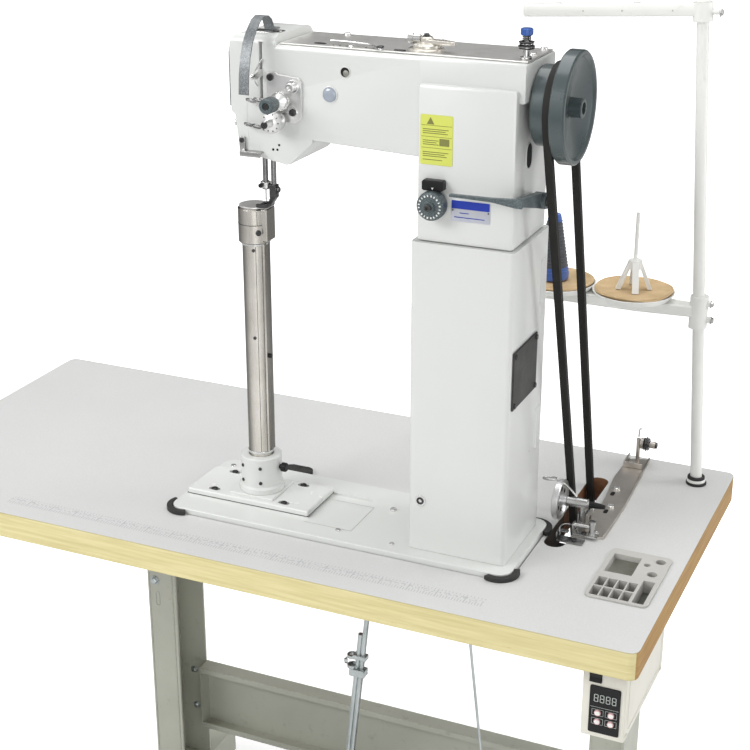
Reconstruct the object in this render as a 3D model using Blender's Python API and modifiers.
"""Post-bed leather sewing machine on its table and steel stand, in metres, +Z up.

The origin is on the floor under the middle of the table. The long side of the table runs along X,
the operator sits on the -Y side (the front), and the handwheel is at the +X (right) end. Every
named object is one solid piece.
"""

import math

import bmesh
import bpy
from mathutils import Matrix, Vector

for old in list(bpy.data.objects):
    bpy.data.objects.remove(old, do_unlink=True)
MACHINE = bpy.data.collections.new("leather_sewing_machine")
bpy.context.scene.collection.children.link(MACHINE)

# ---------------------------------------------------------------- driving sizes
# Rectangles are (left, right, front, back). Centres hold the two coordinates across their axis.
GAP = 0.0003                                # assembly gap between touching pieces

TABLE_HALF_X, TABLE_HALF_Y = 0.600, 0.2815
TABLE_TOP, TABLE_THICK = 0.760, 0.039
TABLE_LOW = TABLE_TOP - TABLE_THICK
TRAY_HOLE = (0.4995, 0.5795, -0.1685, -0.0315)

BED = (-0.122, 0.396, -0.176, 0.002)
BED_LOW, BED_TOP = 0.750, 0.768
BED_CORNER = 0.018

POST = (-0.017, -0.085)                     # x, y of the post's axis
POST_RADIUS = 0.0178
POST_FOOT, POST_HEAD = 0.7903, 1.1532
CAP_RADIUS, CAP_LOW, CAP_TOP = 0.0225, 1.1535, 1.2030
HOOK_SHAFT_RADIUS, HOOK_BORE_RADIUS = 0.0060, 0.0061

RISER = (0.243, 0.382, -0.153, -0.013)
RISER_LOW, RISER_TOP = 0.7683, 1.2030
RISER_WALL = 0.009

ARM_FRONT, ARM_BACK = -0.141, -0.029
ARM_TOP, HEAD_TOP = 1.433, 1.445
SHAFT = (-0.085, 1.3755)                    # y, z of the main shaft
SHAFT_RADIUS, SHAFT_BORE_RADIUS = 0.0075, 0.0076
NEEDLE = (0.002, -0.085)                    # x, y
PRESSER = (0.0145, -0.085)                  # x, y
BAR_RADIUS, BAR_BORE_RADIUS = 0.00365, 0.00375
BAR_ORIGIN_Z = 1.3
TAKE_UP = (-0.080, 1.405)                   # y, z of the take-up pivot
DIAL = (0.275, 1.255)                       # x, z
REVERSE = (-0.087, 1.256)                   # y, z of the reverse lever pivot
TENSION = (0.0630, 1.3660)                  # x, z of the tension stud
CHECK_SPRING = (0.0545, 1.3395)             # x, z of the check spring stud

BELT_LEFT, BELT_RIGHT = 0.4055, 0.4155
BELT_MIDDLE = (BELT_LEFT + BELT_RIGHT) / 2
BELT_HALF = 0.004                           # half the belt's thickness
WHEEL_PITCH, PULLEY_PITCH = 0.0510, 0.0385  # radii of the belt's middle line
MOTOR = (0.171, 0.562)                      # y, z of the motor axis

LEG_FRONT, LEG_BACK = 0.0875, 0.1800
LEFT_LEG = (-0.340, -0.286)                 # x range
RIGHT_LEG = (0.450, 0.504)
SHEET = 0.0035
PEDAL = (0.050, 0.0765)                     # y, z of the pedal bar

POLE = (0.553, 0.224)                       # x, y where the pole meets the table
LEAN = math.radians(3.6)
POLE_RADIUS, POLE_BORE_RADIUS = 0.0085, 0.0088
SPOOL_X = {"right": 0.439, "left": 0.320}
WINDER = (0.0165, 0.797)                    # y, z of the winder spindle
WINDER_PIVOT = (0.0165, 0.777)

# ---------------------------------------------------------------- materials
# name: (base colour, metallic, roughness)
FINISHES = {
    "enamel": ((0.80, 0.81, 0.79), 0.0, 0.30),
    "laminate": ((0.66, 0.67, 0.67), 0.0, 0.45),
    "stand_paint": ((0.42, 0.43, 0.37), 0.0, 0.50),
    "satin_nickel": ((0.62, 0.60, 0.57), 1.0, 0.32),
    "bright_steel": ((0.75, 0.75, 0.74), 1.0, 0.22),
    "slate_hammertone": ((0.10, 0.13, 0.14), 0.3, 0.45),
    "black_rubber": ((0.03, 0.03, 0.03), 0.0, 0.75),
    "cast_aluminium": ((0.70, 0.70, 0.70), 1.0, 0.40),
    "black_plastic": ((0.02, 0.02, 0.02), 0.0, 0.40),
    "cream_plastic": ((0.78, 0.76, 0.68), 0.0, 0.45),
    "white_plastic": ((0.85, 0.85, 0.83), 0.0, 0.40),
    "grey_plastic": ((0.55, 0.54, 0.51), 0.0, 0.50),
    "red_plastic": ((0.75, 0.25, 0.28), 0.0, 0.40),
    "blue_thread": ((0.10, 0.20, 0.55), 0.0, 0.80),
    "tan_foam": ((0.70, 0.58, 0.40), 0.0, 0.90),
    "black_iron": ((0.05, 0.05, 0.05), 0.4, 0.60),
    "zinc_rod": ((0.45, 0.50, 0.50), 1.0, 0.35),
}


def make_material(name, colour, metallic, roughness):
    material = bpy.data.materials.new(name)
    material.use_nodes = True
    shader = material.node_tree.nodes["Principled BSDF"]
    shader.inputs["Base Color"].default_value = (*colour, 1.0)
    shader.inputs["Metallic"].default_value = metallic
    shader.inputs["Roughness"].default_value = roughness
    material.diffuse_color = (*colour, 1.0)
    return material


MATERIALS = {name: make_material(name, *values) for name, values in FINISHES.items()}

# ---------------------------------------------------------------- mesh tools
WELD = 1e-6
# Curves and sweeps are made in millimetres, then scaled down as they are baked.
PER_METRE = 1000
TO_METRES = Matrix.Scale(0.001, 4)


def link(name, data):
    piece = bpy.data.objects.new(name, data)
    MACHINE.objects.link(piece)
    return piece


def from_bmesh(work):
    mesh = bpy.data.meshes.new("work")
    bmesh.ops.recalc_face_normals(work, faces=work.faces)
    work.to_mesh(mesh)
    work.free()
    return link("work", mesh)


def bake(piece, matrix=Matrix()):
    """Replaces the piece by its evaluated mesh as a plain object, placed by matrix and welded."""
    bpy.context.view_layer.update()
    graph = bpy.context.evaluated_depsgraph_get()
    mesh = bpy.data.meshes.new_from_object(piece.evaluated_get(graph))
    work = bmesh.new()
    work.from_mesh(mesh)
    bmesh.ops.transform(work, matrix=matrix @ piece.matrix_world, verts=work.verts)
    bmesh.ops.remove_doubles(work, verts=work.verts, dist=WELD)
    bpy.data.objects.remove(piece, do_unlink=True)
    bpy.data.meshes.remove(mesh)
    return from_bmesh(work)


def boolean(piece, others, operation):
    """Applies the others to the piece one by one, and removes them."""
    for other in others:
        modifier = piece.modifiers.new("Boolean", "BOOLEAN")
        modifier.operation = operation
        modifier.solver = "EXACT"
        modifier.object = other
        piece = bake(piece)
        bpy.data.objects.remove(other, do_unlink=True)
    return piece


def cut(piece, *others):
    return boolean(piece, others, "DIFFERENCE")


def join(piece, *others):
    return boolean(piece, others, "UNION")


def common(piece, *others):
    return boolean(piece, others, "INTERSECT")


def bevel(piece, width, segments):
    modifier = piece.modifiers.new("Bevel", "BEVEL")
    modifier.width = width
    modifier.segments = segments
    modifier.limit_method = "ANGLE"
    modifier.angle_limit = math.radians(40)
    return bake(piece)


def finish(name, piece, material, origin=None, sharp_angle=35):
    """Names the piece, gives it its material and shading, and moves its origin if one is given."""
    piece.name = name
    piece.data.name = name
    piece.data.materials.clear()
    piece.data.materials.append(MATERIALS[material])
    piece.data.shade_smooth()
    piece.data.set_sharp_from_angle(angle=math.radians(sharp_angle))
    if origin is not None:
        piece.data.transform(Matrix.Translation(-Vector(origin)))
        piece.location = origin


# ---------------------------------------------------------------- solids
def box(x_min, x_max, y_min, y_max, z_min, z_max, edge=0.0, segments=1):
    """A block, with its edges bevelled where an edge width is given."""
    work = bmesh.new()
    bmesh.ops.create_cube(work, size=1.0)
    middle = ((x_min + x_max) / 2, (y_min + y_max) / 2, (z_min + z_max) / 2)
    size = Matrix.Diagonal((x_max - x_min, y_max - y_min, z_max - z_min, 1.0))
    bmesh.ops.transform(work, matrix=Matrix.Translation(middle) @ size, verts=work.verts)
    piece = from_bmesh(work)
    return bevel(piece, edge, segments) if edge else piece


TURN = {
    "X": Matrix.Rotation(math.pi / 2, 4, "Y"),
    "Y": Matrix.Rotation(-math.pi / 2, 4, "X"),
    "Z": Matrix(),
}


def point_on(axis, centre, station):
    """The point at a station along the axis; centre is in x, y, z order."""
    first, second = centre
    return {
        "X": (station, first, second),
        "Y": (first, station, second),
        "Z": (first, second, station),
    }[axis]


def place_on(axis, centre, station=0.0):
    return Matrix.Translation(point_on(axis, centre, station)) @ TURN[axis]


def rod(axis, start, end, centre, radius, end_radius=None, segments=24):
    """A cylinder, or a cone where an end radius is given."""
    work = bmesh.new()
    bmesh.ops.create_cone(
        work, cap_ends=True, cap_tris=False, segments=segments, radius1=radius,
        radius2=radius if end_radius is None else end_radius, depth=end - start,
    )
    place = place_on(axis, centre, (start + end) / 2)
    bmesh.ops.transform(work, matrix=place, verts=work.verts)
    return from_bmesh(work)


def turned(axis, centre, profile, closed=False, steps=32):
    """A turned piece; every profile is a list of (radius, station along the axis)."""
    mesh = bpy.data.meshes.new("profile")
    edges = [(i, i + 1) for i in range(len(profile) - 1)]
    if closed:
        edges.append((len(profile) - 1, 0))
    points = [(PER_METRE * radius, 0.0, PER_METRE * station) for radius, station in profile]
    mesh.from_pydata(points, edges, [])
    piece = link("profile", mesh)
    screw = piece.modifiers.new("Screw", "SCREW")
    screw.axis = "Z"
    screw.angle = 2 * math.pi
    screw.steps = steps
    screw.render_steps = steps
    screw.use_merge_vertices = True
    screw.merge_threshold = 0.0001
    screw.use_normal_calculate = True
    return bake(piece, place_on(axis, centre) @ TO_METRES)


FLAT = {
    "XY": Matrix(((1, 0, 0, 0), (0, 1, 0, 0), (0, 0, 1, 0), (0, 0, 0, 1))),
    "XZ": Matrix(((1, 0, 0, 0), (0, 0, -1, 0), (0, 1, 0, 0), (0, 0, 0, 1))),
    "YZ": Matrix(((0, 0, 1, 0), (1, 0, 0, 0), (0, 1, 0, 0), (0, 0, 0, 1))),
}
ACROSS = {"XY": "Z", "XZ": "Y", "YZ": "X"}


def add_spline(curve, points):
    """A straight-sided spline through points in metres."""
    spline = curve.splines.new("POLY")
    spline.points.add(len(points) - 1)
    for knot, (x, y, z) in zip(spline.points, points):
        knot.co = (PER_METRE * x, PER_METRE * y, PER_METRE * z, 1.0)
    return spline


def flat(plane, outline, low, high, holes=()):
    """A flat outline in the named plane, extruded from low to high across it."""
    curve = bpy.data.curves.new("outline", "CURVE")
    curve.dimensions = "2D"
    curve.fill_mode = "BOTH"
    curve.extrude = PER_METRE * (high - low) / 2
    for loop in (outline, *holes):
        add_spline(curve, [(*point, 0.0) for point in loop]).use_cyclic_u = True
    shift = point_on(ACROSS[plane], (0, 0), (low + high) / 2)
    return bake(link("outline", curve), Matrix.Translation(shift) @ FLAT[plane] @ TO_METRES)


def wire(points, radius):
    """A round wire through the points, with closed ends."""
    curve = bpy.data.curves.new("wire", "CURVE")
    curve.dimensions = "3D"
    curve.bevel_depth = PER_METRE * radius
    curve.bevel_resolution = 2
    curve.use_fill_caps = True
    add_spline(curve, points)
    return bake(link("wire", curve), TO_METRES)


# ---------------------------------------------------------------- outlines
def arc(centre, radius, start, end, steps):
    """Points on an arc between two angles in degrees."""
    points = []
    for i in range(steps + 1):
        angle = math.radians(start + (end - start) * i / steps)
        points.append((
            centre[0] + radius * math.cos(angle),
            centre[1] + radius * math.sin(angle),
        ))
    return points


def ring(centre, radius, segments=16):
    return arc(centre, radius, 0, 360 - 360 / segments, segments - 1)


def rounded(left, right, low, high, radius, steps=3):
    """A rectangle with rounded corners."""
    return (
        arc((right - radius, low + radius), radius, -90, 0, steps)
        + arc((right - radius, high - radius), radius, 0, 90, steps)
        + arc((left + radius, high - radius), radius, 90, 180, steps)
        + arc((left + radius, low + radius), radius, 180, 270, steps)
    )


def grown(rectangle, margin):
    left, right, low, high = rectangle
    return left - margin, right + margin, low - margin, high + margin


def around_two(first, first_radius, second, second_radius, steps):
    """The outline of a tight loop round two circles."""
    across, up = second[0] - first[0], second[1] - first[1]
    heading = math.degrees(math.atan2(up, across))
    radius_drop = first_radius - second_radius
    tangent = math.degrees(math.acos(radius_drop / math.hypot(across, up)))
    return (
        arc(first, first_radius, heading + tangent, heading + 360 - tangent, steps)
        + arc(second, second_radius, heading - tangent, heading + tangent, steps)
    )


def capsule(first, first_radius, second, second_radius):
    """The outline of a link with round ends."""
    return around_two(first, first_radius, second, second_radius, steps=6)


def needle_slot(half_length):
    return rounded(
        NEEDLE[0] - 0.002, NEEDLE[0] + 0.002,
        NEEDLE[1] - half_length, NEEDLE[1] + half_length, 0.0019,
    )


# ---------------------------------------------------------------- table
TABLE_HOLES = (
    rounded(*grown(BED, 0.0015), 0.019, 4),
    rounded(0.403, 0.433, -0.058, 0.184, 0.0148, 4),    # belt slot
    rounded(*TRAY_HOLE, 0.006, 2),
    ring((POLE[0] + 0.0013, POLE[1]), 0.0118),
)
table_outline = rounded(-TABLE_HALF_X, TABLE_HALF_X, -TABLE_HALF_Y, TABLE_HALF_Y, 0.012)
finish("table_top", flat("XY", table_outline, TABLE_LOW, TABLE_TOP, TABLE_HOLES), "laminate")

# ---------------------------------------------------------------- steel stand
COLUMN_LOW, COLUMN_TOP = 0.060, 0.705
LIP_INSET = 0.0005
FOOT_Y, FOOT_RADIUS, FOOT_HEIGHT = 0.258, 0.017, 0.024


def leg(left, right, web_left):
    """A column of channel section, its web SHEET thick, on a floor bar and under a top bar."""
    lip_low, lip_top = COLUMN_LOW + LIP_INSET, COLUMN_TOP - LIP_INSET
    middle = (left + right) / 2
    floor_bar = cut(
        box(left - 0.005, right + 0.005, -0.265, 0.265, 0.018, 0.066, 0.003),
        box(left - 0.001, right + 0.001, -0.255, 0.255, 0.010, 0.0615),
    )
    return join(
        box(web_left, web_left + SHEET, LEG_FRONT, LEG_BACK, COLUMN_LOW, COLUMN_TOP),
        box(left, right, LEG_FRONT, LEG_FRONT + SHEET, lip_low, lip_top),
        box(left, right, LEG_BACK - SHEET, LEG_BACK, lip_low, lip_top),
        floor_bar,
        box(left - 0.004, right + 0.004, -0.205, 0.235, 0.700, TABLE_LOW - GAP, 0.002),
        *[rod("Z", 0.0, FOOT_HEIGHT, (middle, y), FOOT_RADIUS, segments=20)
          for y in (-FOOT_Y, FOOT_Y)],
    )


finish("left_leg", leg(*LEFT_LEG, LEFT_LEG[0]), "stand_paint", sharp_angle=25)
finish("right_leg", leg(*RIGHT_LEG, RIGHT_LEG[1] - SHEET), "stand_paint", sharp_angle=25)


def cross_brace():
    """A channel open to the front, with a lip turned in along each edge."""
    left, right = LEFT_LEG[1], RIGHT_LEG[0]
    channel = cut(
        box(left + GAP, right - GAP, 0.150, 0.180, 0.139, 0.264, 0.0015),
        box(left + SHEET, right - SHEET, 0.140, 0.1765, 0.1425, 0.2605),
    )
    lips = [box(left + 0.002, right - 0.002, 0.1505, 0.1535, low, high)
            for low, high in ((0.1395, 0.150), (0.253, 0.2635))]
    return join(channel, *lips)


finish("cross_brace", cross_brace(), "stand_paint", sharp_angle=25)


# ---------------------------------------------------------------- pedals
def pedal_bar():
    """A round bar with a bearing block inside each leg."""
    blocks = [
        box(left + 0.006, right - 0.006, PEDAL[0] - 0.014, PEDAL[0] + 0.014, 0.0663, 0.0825, 0.001)
        for left, right in (LEFT_LEG, RIGHT_LEG)
    ]
    bar = rod("X", LEFT_LEG[0] + 0.004, RIGHT_LEG[1] - 0.004, PEDAL, 0.009, segments=20)
    return join(bar, *blocks)


finish("pedal_bar", pedal_bar(), "stand_paint")


def pedal(left, right, front, back, rod_x, slots):
    """A slotted plate on two lugs bored for the pedal bar, with a block under its rod."""
    plate = flat("XY", rounded(left, right, front, back, 0.02), 0.103, 0.111, slots)
    lugs = [
        box(x, x + 0.016, PEDAL[0] - 0.016, PEDAL[0] + 0.016, PEDAL[1] - 0.014, 0.1055)
        for x in (left + 0.018, right - 0.034)
    ]
    rod_block = box(rod_x - 0.008, rod_x + 0.008, -0.058, -0.042, 0.1085, 0.120, 0.001)
    bore = rod("X", left - 0.01, right + 0.01, PEDAL, 0.0093, segments=20)
    return cut(join(plate, *lugs, rod_block), bore)


TREADLE_SLOTS = [
    rounded(x, x + 0.034, y, y + 0.022, 0.010, 2)
    for x in (-0.165 + 0.062 * column for column in range(4))
    for y in (-0.105 + 0.085 * row for row in range(3))
]
LIFT_SLOTS = [rounded(0.325, 0.375, -0.100, -0.085, 0.007, 2)]
treadle = pedal(-0.200, 0.105, -0.130, 0.150, 0.088, TREADLE_SLOTS)
finish("treadle", treadle, "black_iron", (-0.05, *PEDAL))
lift_pedal = pedal(0.300, 0.400, -0.125, 0.085, 0.352, LIFT_SLOTS)
finish("lift_pedal", lift_pedal, "black_iron", (0.35, *PEDAL))

PITMAN_LOW, PITMAN_HIGH = (0.0884, -0.050, 0.128), (0.1395, -0.050, 0.6175)
PITMAN_RADIUS = 0.0042
PITMAN_OFFSET = 0.0072                      # how far left the lower rod runs


def on_pitman(height):
    """The point of the pitman's line at a height."""
    share = (height - PITMAN_LOW[2]) / (PITMAN_HIGH[2] - PITMAN_LOW[2])
    return tuple(low + (high - low) * share for low, high in zip(PITMAN_LOW, PITMAN_HIGH))


def pitman_clamp(height, left, right, half_y, half_z):
    """A block round both rods; left and right are its reach from the pitman's line."""
    x, y, z = on_pitman(height)
    return box(x - left, x + right, y - half_y, y + half_y, z - half_z, z + half_z, 0.001)


def pitman_rod():
    """Two overlapping parallel rods held by two clamps."""
    lower = [(x - PITMAN_OFFSET, y, z) for x, y, z in (PITMAN_LOW, on_pitman(0.545))]
    return join(
        wire([on_pitman(0.285), PITMAN_HIGH], PITMAN_RADIUS),
        pitman_clamp(0.478, 0.017, 0.008, 0.008, 0.006),
        wire(lower, PITMAN_RADIUS),
        pitman_clamp(0.505, 0.0145, 0.0072, 0.0065, 0.004),
    )


finish("pitman_rod", pitman_rod(), "zinc_rod")
LIFT_ENDS = [(0.352, -0.050, 0.126), (0.2835, -0.050, 0.715)]
finish("lift_rod", wire(LIFT_ENDS, 0.002), "zinc_rod")

# ---------------------------------------------------------------- motor and belt drive
MOTOR_LEVER = (0.105, 0.598)                # y, z of the lever pin
MOTOR_PROFILE = [
    (0.0, 0.165), (0.040, 0.165), (0.050, 0.168), (0.058, 0.176), (0.058, 0.380),
    (0.050, 0.3885), (0.022, 0.392), (0.0072, 0.392), (0.0072, 0.376), (0.0, 0.376),
]
PULLEY_PROFILE = [
    (0.0, 0.378), (0.007, 0.378), (0.007, 0.396), (0.018, 0.3975), (0.018, 0.400),
    (0.044, 0.400), (0.044, 0.404), (0.034, 0.405), (0.034, 0.416), (0.044, 0.4175),
    (0.044, 0.4215), (0.018, 0.4215), (0.016, 0.426), (0.0, 0.426),
]
HANDWHEEL_PROFILE = [
    (0.0078, 0.387), (0.048, 0.387), (0.050, 0.389), (0.050, 0.404), (0.0465, 0.405),
    (0.0465, 0.416), (0.060, 0.4178), (0.068, 0.4178), (0.070, 0.4198), (0.070, 0.435),
    (0.068, 0.437), (0.064, 0.437), (0.061, 0.4335), (0.024, 0.4245), (0.0125, 0.4235),
    (0.012, 0.440), (0.011, 0.441), (0.0078, 0.441),
]


def motor():
    """The motor body with its hanging cradle, speed box and lever pin."""
    cradle = cut(
        box(0.205, 0.335, 0.131, 0.211, 0.598, TABLE_LOW - GAP, 0.002),
        box(0.19, 0.35, 0.141, 0.201, 0.632, 0.708),
    )
    return join(
        turned("X", MOTOR, MOTOR_PROFILE, steps=36),
        cradle,
        box(0.150, 0.1655, 0.090, 0.205, 0.535, 0.612, 0.003),
        rod("X", 0.1345, 0.152, MOTOR_LEVER, 0.005, segments=16),
    )


finish("motor", motor(), "slate_hammertone")
lever_outline = capsule(MOTOR_LEVER, 0.0105, (-0.050, 0.630), 0.0075)
motor_lever = flat("YZ", lever_outline, 0.1365, 0.1425, [ring(MOTOR_LEVER, 0.0053)])
finish("motor_lever", motor_lever, "bright_steel", (0.1395, *MOTOR_LEVER))
pulley = turned("X", MOTOR, PULLEY_PROFILE)
finish("motor_pulley", pulley, "cast_aluminium", (BELT_MIDDLE, *MOTOR))


def belt_loop(offset):
    """The belt's path round both wheels, offset outwards, in y and z."""
    # The tangent angle is that of the middle line, so both faces share their stations.
    across, up = MOTOR[0] - SHAFT[0], MOTOR[1] - SHAFT[1]
    heading = math.degrees(math.atan2(up, across))
    tangent = math.degrees(math.acos((WHEEL_PITCH - PULLEY_PITCH) / math.hypot(across, up)))
    return (
        arc(SHAFT, WHEEL_PITCH + offset, heading + tangent, heading + 360 - tangent, 14)
        + arc(MOTOR, PULLEY_PITCH + offset, heading - tangent, heading + tangent, 14)
    )


belt = flat("YZ", belt_loop(BELT_HALF), BELT_LEFT, BELT_RIGHT, [belt_loop(-BELT_HALF)])
finish("drive_belt", belt, "black_rubber")
handwheel = turned("X", SHAFT, HANDWHEEL_PROFILE, closed=True, steps=40)
finish("handwheel", handwheel, "slate_hammertone", (BELT_MIDDLE, *SHAFT))


def main_shaft():
    """The shaft, with a disc at its left end that has its top cut flat."""
    disc = rod("X", 0.0357, 0.0465, SHAFT, 0.018, segments=32)
    return join(
        rod("X", 0.045, 0.437, SHAFT, SHAFT_RADIUS, segments=32),
        cut(disc, box(0.03, 0.05, -0.11, -0.06, 1.3835, 1.40)),
    )


finish("main_shaft", main_shaft(), "bright_steel", (0.2, *SHAFT))


# ---------------------------------------------------------------- bed
def bed_plate():
    """The plate with a hollow trough beneath, a recess for the post's base and a small hole."""
    outline = rounded(*BED, BED_CORNER, 5)
    plate = bevel(flat("XY", outline, BED_LOW, BED_TOP), 0.0015, 1)
    return cut(
        join(plate, box(-0.070, 0.350, -0.128, -0.046, 0.725, 0.752)),
        box(-0.066, 0.346, -0.124, -0.050, 0.715, 0.760),
        flat("XY", rounded(-0.1184, 0.1428, -0.129, -0.041, 0.002, 1), 0.765, 0.780),
        rod("Z", 0.7635, 0.775, (0.181, -0.059), 0.0045, segments=16),
    )


finish("bed_plate", bed_plate(), "enamel")

# ---------------------------------------------------------------- post
BASE_SLOTS = ((-0.080, -0.115), (0.034, -0.116), (0.034, -0.052), (-0.080, -0.053))
FLANGE_PROFILE = [
    (0.0182, 0.834), (0.0285, 0.834), (0.030, 0.8325), (0.030, 0.790), (0.033, 0.787),
    (0.033, 0.7798), (HOOK_BORE_RADIUS, 0.7798), (HOOK_BORE_RADIUS, 0.790), (0.0182, 0.790),
]
TUBE_PROFILE = [
    (HOOK_BORE_RADIUS, POST_HEAD), (POST_RADIUS, POST_HEAD),
    (POST_RADIUS, POST_FOOT), (HOOK_BORE_RADIUS, POST_FOOT),
]
CAP_PROFILE = [
    (0.0, CAP_TOP), (0.0205, CAP_TOP), (CAP_RADIUS, CAP_TOP - 0.002),
    (CAP_RADIUS, CAP_LOW + 0.001), (0.0215, CAP_LOW), (0.0, CAP_LOW),
]
HOOK_PROFILE = [
    (0.0, 1.172), (0.0125, 1.172), (0.0125, 1.196), (0.0155, 1.196), (0.0155, 1.168),
    (0.0135, 1.166), (HOOK_SHAFT_RADIUS, 1.166), (HOOK_SHAFT_RADIUS, 0.7685), (0.0, 0.7685),
]
BOBBIN_PROFILE = [
    (0.003, 1.194), (0.0115, 1.194), (0.0115, 1.1928), (0.006, 1.1928),
    (0.006, 1.1738), (0.0115, 1.1738), (0.0115, 1.1725), (0.003, 1.1725),
]


def post_slide_base():
    """A stepped plate with four short slots and the hook shaft's bore."""
    base = join(
        box(-0.118, 0.078, -0.128, -0.042, 0.7653, 0.776, 0.0015),
        box(-0.053, 0.018, -0.120, -0.050, 0.772, 0.7795, 0.001),
    )
    slots = [
        flat("XY", rounded(x - 0.009, x + 0.009, y - 0.0045, y + 0.0045, 0.0044), 0.7715, 0.78)
        for x, y in BASE_SLOTS
    ]
    return cut(base, *slots, rod("Z", 0.768, 0.79, POST, HOOK_BORE_RADIUS, segments=32))


finish("post_slide_base", post_slide_base(), "enamel")
finish("post_flange", turned("Z", POST, FLANGE_PROFILE, closed=True, steps=36), "enamel")


def post_tube():
    """The tube, with an upright groove down its right side."""
    groove = box(
        POST[0] + 0.0158, POST[0] + 0.02, POST[1] - 0.0045, POST[1] + 0.0045, 0.842, 1.138
    )
    return cut(turned("Z", POST, TUBE_PROFILE, closed=True, steps=40), groove)


finish("post_tube", post_tube(), "satin_nickel")


def post_cap():
    """A hollow cap with a cheek on its right side and a pocket for the needle."""
    cheek = box(-0.010, 0.0085, POST[1] - 0.013, POST[1] + 0.013, 1.1565, CAP_TOP, 0.0015)
    return cut(
        join(turned("Z", POST, CAP_PROFILE, steps=40), cheek),
        rod("Z", 1.157, 1.210, POST, 0.0175, segments=36),
        rod("Z", 1.140, 1.160, POST, HOOK_BORE_RADIUS, segments=32),
        box(-0.004, 0.005, NEEDLE[1] - 0.003, NEEDLE[1] + 0.003, 1.170, 1.21),
    )


finish("post_cap", post_cap(), "satin_nickel")


def needle_plate():
    """A thin disc with a square tongue to the right."""
    radius, tongue_half, tongue_end = 0.0205, 0.0125, 0.0078
    side = math.degrees(math.asin(tongue_half / radius))
    outline = arc(POST, radius, side, 360 - side, 24) + [
        (tongue_end, POST[1] - tongue_half), (tongue_end, POST[1] + tongue_half)
    ]
    return flat("XY", outline, CAP_TOP + GAP, CAP_TOP + 0.0023, [needle_slot(0.006)])


finish("needle_plate", needle_plate(), "bright_steel")


def rotary_hook():
    """The cup on its long shaft, with a notch in the rim at the back right."""
    notch = box(POST[0] + 0.004, POST[0] + 0.02, POST[1] + 0.006, POST[1] + 0.02, 1.184, 1.20)
    return cut(turned("Z", POST, HOOK_PROFILE), notch)


finish("rotary_hook", rotary_hook(), "bright_steel", (*POST, 1.0))
bobbin = turned("Z", POST, BOBBIN_PROFILE, closed=True, steps=24)
finish("bobbin", bobbin, "cast_aluminium", (*POST, 1.0))

# ---------------------------------------------------------------- riser column
RISER_RIGHT = RISER[1]


def riser_column():
    """A square tube with two raised pads and an opening on its right side."""
    pads = [
        box(RISER_RIGHT - 0.003, RISER_RIGHT + 0.0025, -0.044, -0.026, low, low + 0.060, 0.002)
        for low in (1.105, 0.895)
    ]
    return cut(
        join(flat("XY", rounded(*RISER, 0.006), RISER_LOW, RISER_TOP), *pads),
        box(*grown(RISER, -RISER_WALL), RISER_LOW - 0.01, RISER_TOP + 0.01),
        rod("Y", RISER[2] - 0.005, RISER[2] + 0.015, (0.261, 0.842), 0.004, segments=16),
        box(RISER_RIGHT - 0.015, RISER_RIGHT + 0.005, -0.136, -0.064, 1.002, 1.058),
    )


finish("riser_column", riser_column(), "enamel")
side_cover = box(RISER_RIGHT + GAP, RISER_RIGHT + 0.0028, -0.147, -0.054, 0.990, 1.070, 0.001)
finish("riser_side_cover", side_cover, "slate_hammertone")

# ---------------------------------------------------------------- head and arm casting
# Outline of the head seen from the front: (x, z).
HEAD_FRONT_VIEW = (
    [(-0.005, 1.292), (0.063, 1.280), (0.069, 1.2815), (0.101, 1.312), (0.101, 1.330)]
    + [(0.050, 1.372), (0.050, HEAD_TOP)]
    + arc((0.001, HEAD_TOP - 0.017), 0.017, 90, 180, 5)
    + [(-0.016, 1.345), (-0.0105, 1.340)]
)
# Outline of the head seen from its end: (y, z).
HEAD_END_VIEW = (
    [(ARM_FRONT - 0.010, 1.27), (ARM_BACK + 0.010, 1.27)]
    + [(ARM_BACK + 0.010, HEAD_TOP - 0.0185), (ARM_BACK, HEAD_TOP - 0.018)]
    + arc((ARM_BACK - 0.018, HEAD_TOP - 0.018), 0.018, 15, 90, 4)
    + arc((ARM_FRONT + 0.013, HEAD_TOP - 0.013), 0.013, 90, 168, 6)
    + [(ARM_FRONT, HEAD_TOP - 0.013), (ARM_FRONT - 0.010, HEAD_TOP - 0.0135)]
)
# Outline of the arm seen from the front: (x, z).
ARM_FRONT_VIEW = [
    (0.040, ARM_TOP), (0.040, 1.330), (0.096, 1.3145),
    (0.245, 1.308), (0.262, 1.300), (0.262, ARM_TOP),
]
# Outline of the face plate: (y, z).
FACE_OUTLINE = (
    [(-0.036, 1.350), (-0.036, 1.424)]
    + arc((-0.050, 1.4255), 0.012, 10, 90, 3)
    + arc((-0.118, 1.4175), 0.020, 90, 178, 4)
    + [(-0.138, 1.350)]
)


def casting_solid():
    """Head, arm and the two blocks over the riser; small steps keep their faces apart."""
    head = bevel(flat("XZ", HEAD_FRONT_VIEW, ARM_FRONT, ARM_BACK), 0.004, 2)
    head = common(head, flat("YZ", HEAD_END_VIEW, -0.03, 0.12))
    arm = flat("XZ", ARM_FRONT_VIEW, ARM_FRONT + 0.00012, ARM_BACK - 0.00012)
    return join(
        head,
        bevel(arm, 0.005, 2),
        box(0.249, 0.378, -0.149, -0.021, RISER_TOP + GAP, 1.402, 0.005, 2),
        box(0.245, 0.3855, ARM_FRONT - 0.0004, ARM_BACK + 0.0004, 1.385, ARM_TOP + 0.0001,
            0.004, 2),
    )


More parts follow.
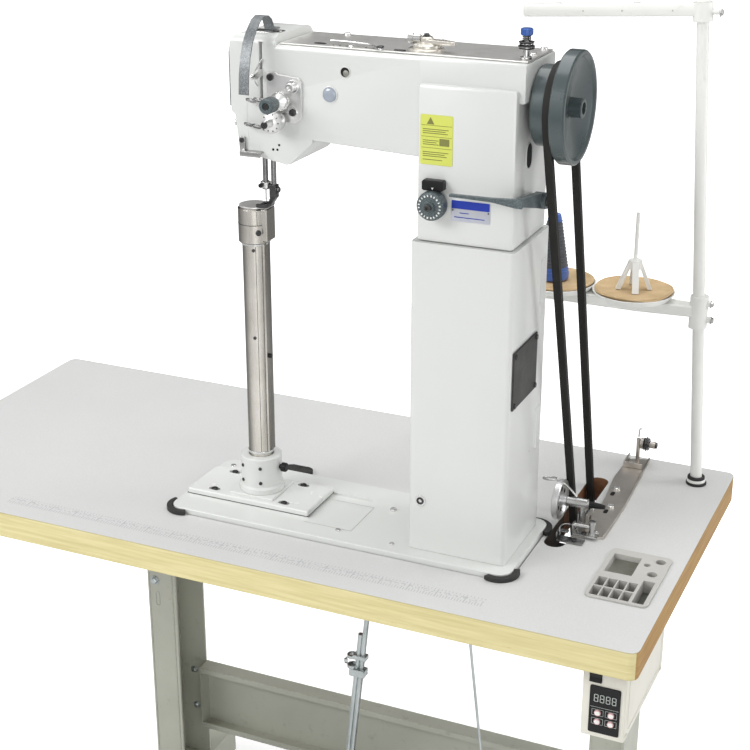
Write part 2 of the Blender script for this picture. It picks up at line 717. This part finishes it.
def head_casting():
    """The hollowed and bored casting, with the take-up pivot pin."""
    casting = cut(
        casting_solid(),
        box(0.259, 0.368, -0.139, -0.031, 1.190, 1.410),        # inside of the column
        box(-0.030, 0.0475, -0.128, -0.042, 1.335, 1.436),      # crank chamber, open to the left
        box(0.026, 0.033, -0.150, -0.120, 1.364, 1.436),        # take-up slot
        rod("X", 0.040, 0.400, SHAFT, SHAFT_BORE_RADIUS, segments=32),
        rod("Z", 1.260, 1.350, NEEDLE, BAR_BORE_RADIUS),
        rod("Z", 1.260, 1.350, PRESSER, BAR_BORE_RADIUS),
        rod("Y", -0.150, -0.135, (0.1475, 1.406), 0.006, segments=20),
        rod("Y", -0.160, -0.130, DIAL, 0.0033, segments=16),
        rod("X", 0.360, 0.390, REVERSE, 0.0044, segments=16),
    )
    return join(casting, rod("X", 0.024, 0.050, TAKE_UP, 0.0035, segments=16))


finish("head_casting", head_casting(), "enamel", sharp_angle=30)
face_plate = bevel(flat("YZ", FACE_OUTLINE, -0.0192, -0.0163), 0.0008, 1)
finish("face_plate", face_plate, "slate_hammertone")
top_cover = box(0.053, 0.384, -0.133, -0.037, ARM_TOP + 0.0004, 1.4356, 0.0008)
finish("top_cover", top_cover, "satin_nickel")

# ---------------------------------------------------------------- needle, presser and take-up
NEEDLE_PROFILE = [
    (0.0, 1.2282), (0.001, 1.2282), (0.001, 1.2145), (0.0007, 1.213), (0.0007, 1.202),
    (0.0, 1.1985),
]
# Outline of the foot's sloping shank: (x, z).
SHANK_OUTLINE = [
    (0.007, 1.206), (0.0102, 1.206), (0.0185, 1.218), (0.0185, 1.225),
    (0.0105, 1.225), (0.0105, 1.219), (0.007, 1.210),
]
needle_bar = join(
    rod("Z", 1.230, 1.400, NEEDLE, BAR_RADIUS),
    rod("Z", 1.2285, 1.240, NEEDLE, 0.0047, segments=20),
)
finish("needle_bar", needle_bar, "bright_steel", (*NEEDLE, BAR_ORIGIN_Z))
needle = turned("Z", NEEDLE, NEEDLE_PROFILE, steps=12)
finish("needle", needle, "bright_steel", (*NEEDLE, BAR_ORIGIN_Z))
presser_bar = rod("Z", 1.2363, 1.410, PRESSER, BAR_RADIUS)
finish("presser_bar", presser_bar, "bright_steel", (*PRESSER, BAR_ORIGIN_Z))


def presser_foot():
    """The slotted sole, its raised front edge, the shank and the socket under the bar."""
    sole = rounded(-0.0045, 0.0105, -0.100, -0.074, 0.003, 2)
    return join(
        flat("XY", sole, 1.2056, 1.2082, [needle_slot(0.0045)]),
        box(-0.0042, 0.0102, -0.103, -0.0985, 1.2058, 1.2105),
        flat("XZ", SHANK_OUTLINE, -0.0895, -0.0805),
        box(0.0096, 0.0194, -0.0902, -0.0798, 1.218, 1.236, 0.0006),
    )


finish("presser_foot", presser_foot(), "bright_steel", (*PRESSER, BAR_ORIGIN_Z))

TAKE_UP_EYE = (-0.163, 1.395)               # y, z
take_up_lever = flat(
    "YZ", capsule(TAKE_UP, 0.008, TAKE_UP_EYE, 0.0038), 0.0275, 0.0315,
    [ring(TAKE_UP, 0.0036), ring(TAKE_UP_EYE, 0.0014, 10)],
)
finish("take_up_lever", take_up_lever, "bright_steel", (0.0295, *TAKE_UP))

# Outer line of the guard, from the head's top forwards and down: (y, z).
GUARD_PATH = [
    (-0.094, 1.4467), (-0.110, 1.4467), (-0.1125, 1.4515), (-0.1165, 1.460),
    (-0.125, 1.4655), (-0.135, 1.4666), (-0.146, 1.4625), (-0.158, 1.452),
    (-0.169, 1.438), (-0.176, 1.421), (-0.181, 1.400), (-0.183, 1.376),
]
GUARD_THICK = 0.0016


def take_up_guard():
    """A strap that arches from the head's top over the take-up lever."""
    other_side = []
    for i, (y, z) in enumerate(GUARD_PATH):
        before = Vector(GUARD_PATH[max(i - 1, 0)])
        after = Vector(GUARD_PATH[min(i + 1, len(GUARD_PATH) - 1)])
        along = (after - before).normalized()
        other_side.append((y + GUARD_THICK * along.y, z - GUARD_THICK * along.x))
    return flat("YZ", GUARD_PATH + other_side[::-1], 0.020, 0.034)


finish("take_up_guard", take_up_guard(), "slate_hammertone", sharp_angle=60)

# ---------------------------------------------------------------- thread tension
# Outline of the tension plate: (x, z).
TENSION_OUTLINE = [
    (0.052, 1.400), (0.055, 1.3975), (0.0835, 1.395), (0.0885, 1.390), (0.088, 1.344),
    (0.079, 1.336), (0.048, 1.338), (0.044, 1.349), (0.039, 1.360), (0.039, 1.399),
]
TENSION_STUD_PROFILE = [
    (0.0, -0.168), (0.003, -0.168), (0.003, -0.162), (0.011, -0.157), (0.011, -0.156),
    (0.005, -0.1545), (0.005, -0.1535), (0.011, -0.152), (0.011, -0.151), (0.006, -0.148),
    (0.006, -0.144), (0.0, -0.144),
]
TENSION_KNOB_PROFILE = [
    (0.0, -0.192), (0.0045, -0.192), (0.005, -0.1945), (0.0088, -0.1945), (0.0098, -0.1932),
    (0.0098, -0.176), (0.0085, -0.1725), (0.0075, -0.170), (0.0033, -0.170), (0.0033, -0.183),
    (0.0, -0.183),
]
CHECK_KNOB_PROFILE = [
    (0.0, -0.182), (0.0046, -0.182), (0.0055, -0.181), (0.0055, -0.168), (0.008, -0.1665),
    (0.0136, -0.166), (0.0142, -0.165), (0.0142, -0.1515), (0.0136, -0.1505),
    (0.0051, -0.1505), (0.0051, -0.163), (0.0, -0.163),
]
tension_plate = join(
    bevel(flat("XZ", TENSION_OUTLINE, -0.1446, -0.1414), 0.0008, 1),
    turned("Y", TENSION, TENSION_STUD_PROFILE, steps=24),
    rod("Y", -0.150, -0.1414, CHECK_SPRING, 0.0095, segments=20),
    rod("Y", -0.162, -0.149, CHECK_SPRING, 0.0048, segments=16),
    rod("Y", -0.152, -0.144, (0.077, 1.383), 0.005, segments=16),
)
finish("tension_plate", tension_plate, "bright_steel")
tension_knob = turned("Y", TENSION, TENSION_KNOB_PROFILE, steps=24)
finish("tension_knob", tension_knob, "slate_hammertone", point_on("Y", TENSION, -0.18))
check_knob = turned("Y", CHECK_SPRING, CHECK_KNOB_PROFILE, steps=28)
finish("check_spring_knob", check_knob, "bright_steel", point_on("Y", CHECK_SPRING, -0.16))

# ---------------------------------------------------------------- column controls
DIAL_PROFILE = [
    (0.0, -0.170), (0.016, -0.170), (0.018, -0.168), (0.018, -0.154), (0.0165, -0.152),
    (0.0, -0.152),
]
# Outline of the reverse lever's handle: (x, z).
HANDLE_OUTLINE = [
    (0.300, 1.2703), (0.355, 1.2693), (0.386, 1.265), (0.394, 1.265),
    (0.394, 1.276), (0.386, 1.276), (0.355, 1.2742), (0.300, 1.2737),
]
LIFT_KNOB = (0.243, -0.106)                 # x, y
LIFT_KNOB_PROFILE = [
    (0.0, 1.452), (0.007, 1.452), (0.0085, 1.4505), (0.0085, 1.4455), (0.015, 1.444),
    (0.017, 1.442), (0.017, 1.436), (0.0, 1.436),
]
PRETENSION_PROFILE = [
    (0.0, 1.472), (0.0055, 1.472), (0.0065, 1.4705), (0.0065, 1.464), (0.003, 1.463),
    (0.003, 1.457), (0.0085, 1.4545), (0.0085, 1.4535), (0.0045, 1.452), (0.0085, 1.4505),
    (0.0085, 1.4495), (0.004, 1.447), (0.004, 1.439), (0.007, 1.4385), (0.007, 1.4359),
    (0.0, 1.4359),
]
stitch_dial = join(
    turned("Y", DIAL, DIAL_PROFILE),
    rod("Y", -0.153, -0.137, DIAL, 0.003, segments=16),
    rod("Y", -0.1745, -0.169, DIAL, 0.007, 0.008, segments=20),
)
finish("stitch_dial", stitch_dial, "slate_hammertone", point_on("Y", DIAL, -0.16))
reverse_lever = join(
    rod("X", 0.365, 0.388, REVERSE, 0.0042, segments=16),
    rod("X", 0.3845, 0.400, REVERSE, 0.0105),
    flat("YZ", capsule(REVERSE, 0.010, (-0.164, 1.2715), 0.005), 0.3855, 0.3945),
    bevel(flat("XZ", HANDLE_OUTLINE, -0.1685, -0.1625), 0.0009, 1),
)
finish("reverse_lever", reverse_lever, "slate_hammertone", (0.39, *REVERSE))
knob_arm = flat("XY", capsule(LIFT_KNOB, 0.0075, (0.278, -0.112), 0.005), 1.444, 1.449)
lift_knob = join(
    turned("Z", LIFT_KNOB, LIFT_KNOB_PROFILE, steps=28),
    bevel(knob_arm, 0.0008, 1),
)
finish("lift_knob", lift_knob, "bright_steel", (*LIFT_KNOB, 1.44))
pretension_post = turned("Z", (0.376, -0.1175), PRETENSION_PROFILE, steps=14)
finish("pretension_post", pretension_post, "bright_steel")

# ---------------------------------------------------------------- thread stand
# Outline of the lower arm: (x, y).
LOWER_ARM_OUTLINE = [
    (0.300, POLE[1] - 0.017), (0.450, POLE[1] - 0.019), (0.530, POLE[1] - 0.011),
    (0.530, POLE[1] + 0.011), (0.450, POLE[1] + 0.019), (0.300, POLE[1] + 0.017),
]
DISH_PROFILE = [
    (0.0, 1.045), (0.053, 1.046), (0.059, 1.050), (0.060, 1.049), (0.054, 1.041),
    (0.015, 1.039), (0.012, 1.030), (0.0, 1.030),
]
PAD_PROFILE = [
    (0.0, 1.050), (0.048, 1.051), (0.054, 1.053), (0.0556, 1.0525), (0.055, 1.051),
    (0.052, 1.0472), (0.0, 1.0458),
]
CONE_PROFILE = [
    (0.0045, 1.150), (0.0085, 1.150), (0.0095, 1.147), (0.024, 1.058), (0.0235, 1.0535),
    (0.020, 1.0518), (0.0165, 1.0518),
]
# Outline of one splayed leg of the spool pin: (distance from the pin's axis, z).
PIN_LEG_OUTLINE = [
    (0.003, 1.083), (0.0075, 1.083), (0.0195, 1.0515), (0.0262, 1.0515),
    (0.0105, 1.090), (0.009, 1.095), (0.003, 1.095),
]


def leaning(piece):
    """Tips a piece about the point where the pole meets the table, its head towards -X."""
    foot = Vector((*POLE, TABLE_TOP))
    turn = Matrix.Rotation(-LEAN, 4, "Y")
    return bake(piece, Matrix.Translation(foot) @ turn @ Matrix.Translation(-foot))


def pole_x(z):
    """The X of the leaning pole's axis at a height."""
    return POLE[0] - math.tan(LEAN) * (z - TABLE_TOP)


finish("stand_pole", leaning(rod("Z", 0.690, 1.474, POLE, POLE_RADIUS)), "white_plastic")


def stand_lower_arm():
    """A hub on the pole, with a flat arm, two stubs and two spool dishes."""
    stubs = [
        rod("X", pole_x(z) + 0.007, pole_x(z) + 0.0175, (POLE[1], z), 0.0048, segments=12)
        for z in (1.043, 1.019)
    ]
    dishes = [turned("Z", (x, POLE[1]), DISH_PROFILE, steps=28) for x in SPOOL_X.values()]
    arm = join(
        rod("Z", 1.006, 1.054, (pole_x(1.030), POLE[1]), 0.0132),
        bevel(flat("XY", LOWER_ARM_OUTLINE, 1.023, 1.040), 0.002, 1),
        *stubs,
        *dishes,
    )
    return cut(arm, leaning(rod("Z", 0.99, 1.08, POLE, POLE_BORE_RADIUS)))


finish("stand_lower_arm", stand_lower_arm(), "white_plastic")


def stand_upper_arm():
    """A hub and bar, made upright and then tipped with the pole."""
    arm = join(
        rod("Z", 1.442, 1.468, POLE, 0.0135),
        box(0.300, 0.552, POLE[1] - 0.0092, POLE[1] + 0.0092, 1.449, 1.4665, 0.003, 2),
        rod("X", 0.560, 0.578, (POLE[1], 1.455), 0.0045, segments=12),
        *[rod("Z", 1.454, 1.468, (x, POLE[1]), 0.005, segments=12) for x in (0.462, 0.350)],
    )
    return leaning(cut(arm, rod("Z", 1.43, 1.49, POLE, POLE_BORE_RADIUS)))


finish("stand_upper_arm", stand_upper_arm(), "white_plastic")


def spool_pin():
    """A pin on a collar that stands on four splayed legs, turned 20 degrees off the axes."""
    centre = (SPOOL_X["right"], POLE[1])
    legs = []
    for degrees in (-70, 20, 110, 200):
        turn = Matrix.Rotation(math.radians(degrees), 4, "Z")
        pin_leg = flat("XZ", PIN_LEG_OUTLINE, -0.0048, 0.0048)
        legs.append(bake(pin_leg, Matrix.Translation((*centre, 0.0)) @ turn))
    return join(
        rod("Z", 1.0825, 1.0955, centre, 0.0098, segments=20),
        rod("Z", 1.083, 1.166, centre, 0.0029, segments=12),
        *legs,
    )


finish("spool_pin", spool_pin(), "white_plastic")
for side, x in SPOOL_X.items():
    finish(f"spool_pad_{side}", turned("Z", (x, POLE[1]), PAD_PROFILE), "tan_foam")
thread_cone = turned("Z", (0.315, POLE[1]), CONE_PROFILE, closed=True, steps=28)
finish("thread_cone", thread_cone, "blue_thread")

# ---------------------------------------------------------------- bobbin winder
# Outline of the mounting plate: (x, y).
MOUNT_OUTLINE = [
    (0.4365, -0.020), (0.4785, -0.008), (0.4785, 0.095), (0.470, 0.272),
    (0.438, 0.262), (0.4365, 0.190), (0.445, 0.100), (0.4365, 0.050),
]
WINDER_POST_Y = 0.2583
WINDER_STUD = (WINDER_POST_Y, 0.794)        # y, z of the stud across the post
WINDER_WHEEL_PROFILE = [
    (0.0, 0.399), (0.006, 0.399), (0.007, 0.402), (0.0225, 0.403), (0.0245, 0.4005),
    (0.0282, 0.4005), (0.029, 0.4013), (0.029, 0.4087), (0.0282, 0.4095), (0.0245, 0.4095),
    (0.0225, 0.407), (0.008, 0.407), (0.0075, 0.4155), (0.003, 0.4155), (0.003, 0.469),
    (0.002, 0.470), (0.0, 0.470),
]
winder_mount = join(
    flat("XY", MOUNT_OUTLINE, TABLE_TOP + GAP, 0.763),
    box(0.4465, 0.450, 0.006, 0.027, 0.761, 0.785),
    rod("X", 0.4355, 0.448, WINDER_PIVOT, 0.0025, segments=14),
    rod("Z", 0.761, 0.801, (0.4535, WINDER_POST_Y), 0.003, segments=14),
    rod("X", 0.452, 0.480, WINDER_STUD, 0.0022, segments=12),
    rod("X", 0.4575, 0.4625, WINDER_STUD, 0.0085, segments=20),
    rod("X", 0.472, 0.480, WINDER_STUD, 0.0052, segments=16),
)
finish("winder_mount", winder_mount, "satin_nickel")


def winder_carrier():
    """The spindle's sleeve on an arm, bored for the spindle and the pivot."""
    arm = box(0.437, 0.4455, WINDER[0] - 0.007, WINDER[0] + 0.007, 0.770, 0.797, 0.001)
    return cut(
        join(rod("X", 0.4165, 0.4455, WINDER, 0.0075, segments=20), arm),
        rod("X", 0.40, 0.46, WINDER, 0.0031, segments=20),
        rod("X", 0.42, 0.46, WINDER_PIVOT, 0.0027, segments=14),
    )


finish("winder_carrier", winder_carrier(), "bright_steel", (0.441, *WINDER_PIVOT))
winder_wheel = turned("X", WINDER, WINDER_WHEEL_PROFILE, steps=24)
finish("winder_wheel", winder_wheel, "cast_aluminium", (0.4055, *WINDER))

# ---------------------------------------------------------------- tool tray
POCKET_FLOOR, POCKET_TOP = 0.744, 0.77
# Round pockets: (x, y, radius).
ROUND_POCKETS = ((0.568, -0.045, 0.007), (0.553, -0.060, 0.0045), (0.566, -0.083, 0.007))


def tool_tray():
    """A rim on the table and a body in its opening, with square and round pockets."""
    rim = rounded(*grown(TRAY_HOLE, 0.0023), 0.008)
    body = rounded(*grown(TRAY_HOLE, -0.0005), 0.0063, 2)
    pockets = []
    for column in range(4):
        for row in range(2):
            x = 0.5025 + 0.0138 * column
            y = -0.165 + 0.0265 * row
            pockets.append(box(x, x + 0.0118, y, y + 0.0235, POCKET_FLOOR, POCKET_TOP))
    pockets.append(box(0.560, 0.5755, -0.165, -0.103, POCKET_FLOOR, POCKET_TOP))
    pockets.append(box(0.504, 0.542, -0.098, -0.045, 0.754, POCKET_TOP))
    for x, y, radius in ROUND_POCKETS:
        pockets.append(rod("Z", POCKET_FLOOR, POCKET_TOP, (x, y), radius, segments=16))
    tray = join(flat("XY", rim, TABLE_TOP + GAP, 0.7625), flat("XY", body, 0.742, 0.7612))
    return cut(tray, *pockets)


finish("tool_tray", tool_tray(), "grey_plastic")

# ---------------------------------------------------------------- control box
BUTTONS = [(x, z) for z in (0.6452, 0.6322) for x in (0.5472, 0.5648)]
BUTTON_FRONT = -0.2532
SWITCH_Z = 0.6960
# Outline of the rocker: (y, z).
ROCKER_OUTLINE = [
    (-0.246, 0.6898), (-0.246, 0.7022), (-0.2535, 0.7022), (-0.2515, SWITCH_Z),
    (-0.2535, 0.6898),
]
control_box = cut(
    box(0.525, 0.583, -0.250, -0.056, 0.6067, TABLE_LOW - GAP, 0.003, 2),
    box(0.5338, 0.5502, -0.260, -0.243, 0.688, 0.704),
    *[rod("Y", -0.26, -0.247, centre, 0.0047, segments=16) for centre in BUTTONS],
)
finish("control_box", control_box, "cream_plastic")
panel_outline = rounded(0.5357, 0.5757, 0.615, 0.684, 0.002, 2)
panel_holes = [ring(centre, 0.0046) for centre in BUTTONS]
control_panel = flat("XZ", panel_outline, -0.2515, -0.2503, panel_holes)
finish("control_panel", control_panel, "black_plastic")
for number, centre in enumerate(BUTTONS, start=1):
    button = rod("Y", BUTTON_FRONT, -0.249, centre, 0.0042, segments=16)
    button_origin = point_on("Y", centre, BUTTON_FRONT)
    finish(f"control_button_{number}", button, "red_plastic", button_origin)
power_switch = flat("YZ", ROCKER_OUTLINE, 0.5344, 0.5496)
finish("power_switch", power_switch, "black_plastic", (0.542, -0.2465, SWITCH_Z))
